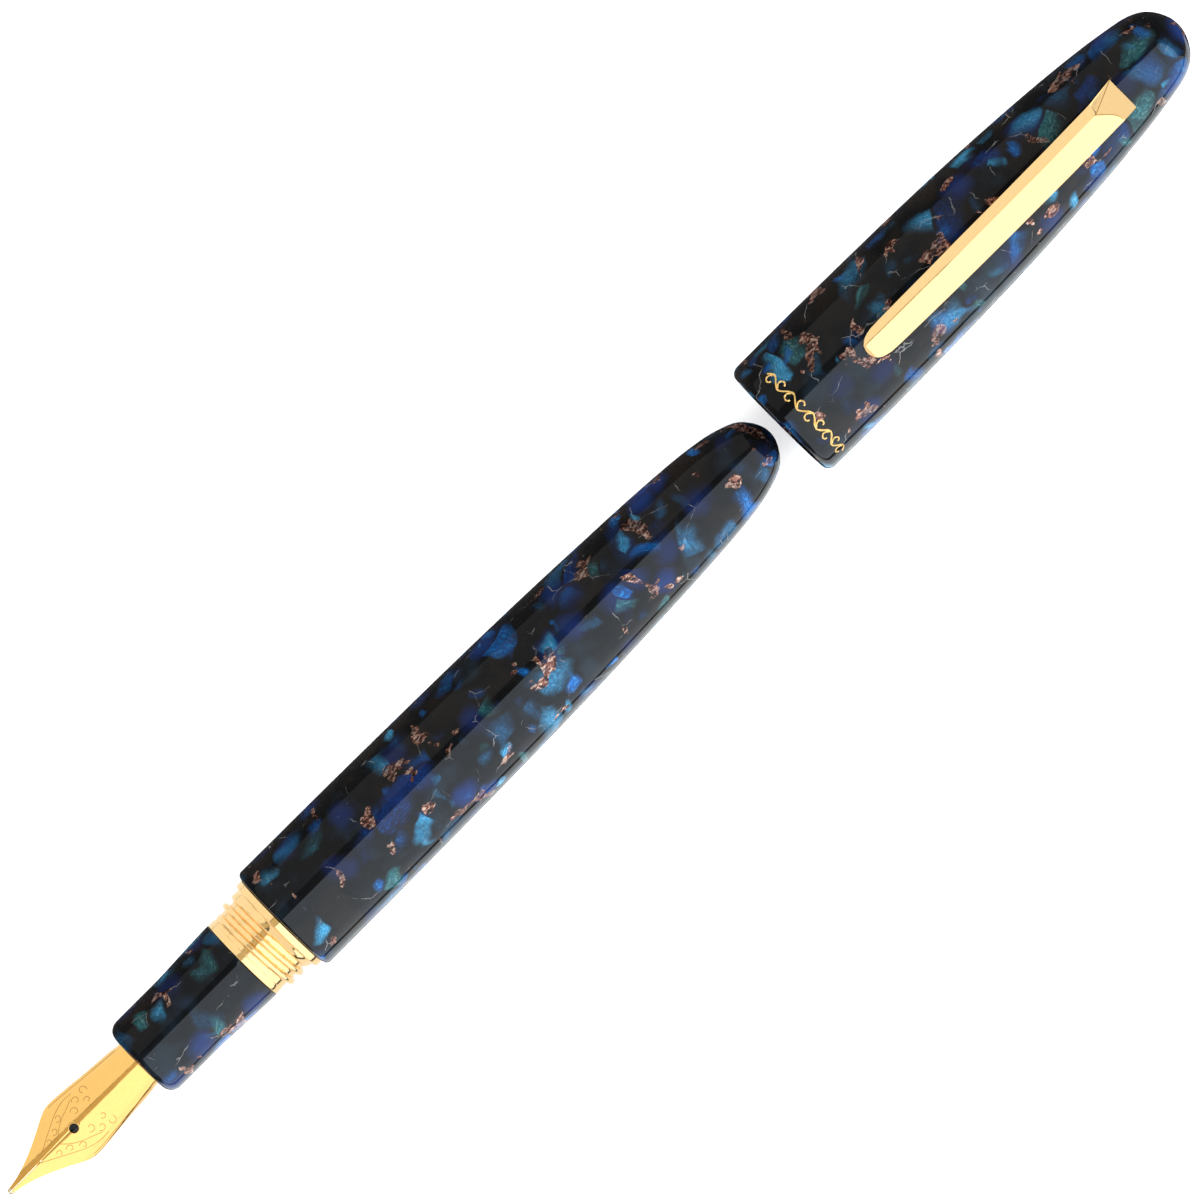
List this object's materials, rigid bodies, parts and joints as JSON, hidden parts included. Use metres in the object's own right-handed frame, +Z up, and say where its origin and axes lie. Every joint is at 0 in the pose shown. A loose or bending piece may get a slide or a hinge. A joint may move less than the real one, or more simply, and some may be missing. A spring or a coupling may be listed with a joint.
{
  "type": "fountain pen",
  "caption": "Resin fountain pen with its screw cap pulled off and laid in line behind the barrel, metal clip and thread collar, steel nib, feed and screw-piston converter inside.",
  "frame": {"origin": "bottom centre of the whole set's bounding box, on the surface it lies on", "axes": "+X along the common axis of pen and cap, from the nib's point towards the cap's crown; +Z up, the side that the nib's face and the clip are on; +Y across"},
  "size_m": [0.1984, 0.0168, 0.0189],
  "materials": {
    "marbled_resin": "polished cast resin, dark with blue flakes and copper veins",
    "gold_trim": "polished gold plate",
    "tipping_alloy": "polished hard alloy",
    "black_plastic": "moulded satin black",
    "clear_plastic": "clear moulded",
    "turned_steel": "fine turned",
    "turned_brass": "fine turned",
    "grey_plastic": "moulded satin grey",
    "black_rubber": "matt"
  },
  "bodies": {
    "barrel": {"barrel": "marbled_resin", "thread_collar": "gold_trim"},
    "grip": {"grip_section": "marbled_resin", "section_tenon": "turned_steel"},
    "nib_unit": {"nib": "gold_trim", "tipping_left": "tipping_alloy", "tipping_right": "tipping_alloy", "feed": "black_plastic", "nib_housing": "black_plastic"},
    "converter": {"converter_tube": "clear_plastic", "converter_sleeve": "gold_trim", "rod_guide": "black_plastic"},
    "knob": {"converter_knob": "black_plastic", "drive_nut": "turned_brass"},
    "piston": {"piston_rod": "grey_plastic", "piston_seal": "black_rubber"},
    "cap": {"cap_shell": "marbled_resin", "retaining_ring": "turned_steel", "cap_spring": "turned_steel", "clip_screw": "turned_brass", "clip_anchor": "gold_trim"},
    "inner_cap": {"inner_cap": "black_plastic", "inner_cap_seal": "black_rubber"},
    "clip": {"clip": "gold_trim"}
  },
  "joints": [
    {"name": "grip_draw", "type": "slide", "parent": "barrel", "child": "grip", "axis": [-1, 0, 0], "range_m": [0, 0.072]},
    {"name": "nib_unit_draw", "type": "slide", "parent": "grip", "child": "nib_unit", "axis": [-1, 0, 0], "range_m": [0, 0.024]},
    {"name": "converter_draw", "type": "slide", "parent": "grip", "child": "converter", "axis": [1, 0, 0], "range_m": [0, 0.007]},
    {"name": "knob_turn", "type": "hinge", "parent": "converter", "child": "knob", "pos_m": [0, 0, 0.00837], "axis": [1, 0, 0], "range_deg": [0, 1800]},
    {"name": "piston_stroke", "type": "slide", "parent": "converter", "child": "piston", "axis": [1, 0, 0], "range_m": [0, 0.016]},
    {"name": "cap_post", "type": "slide", "parent": "barrel", "child": "cap", "axis": [-1, 0, 0], "range_m": [0, 0.0195]},
    {"name": "inner_cap_travel", "type": "slide", "parent": "cap", "child": "inner_cap", "axis": [1, 0, 0], "range_m": [0, 0.0025], "stiffness_N_per_m": 900, "springref_m": -0.001, "deforming": ["cap_spring"]},
    {"name": "clip_lift", "type": "hinge", "parent": "cap", "child": "clip", "pos_m": [0.0873, -0.00117, 0.01527], "axis": [0, 0.986, 0.1668], "range_deg": [0, 4], "stiffness_Nm_per_rad": 3, "springref_deg": -0.57}
  ],
  "couplings": [
    {"joint": "knob_turn", "follows": "piston_stroke", "rad_per_m": 1963.5}
  ]
}
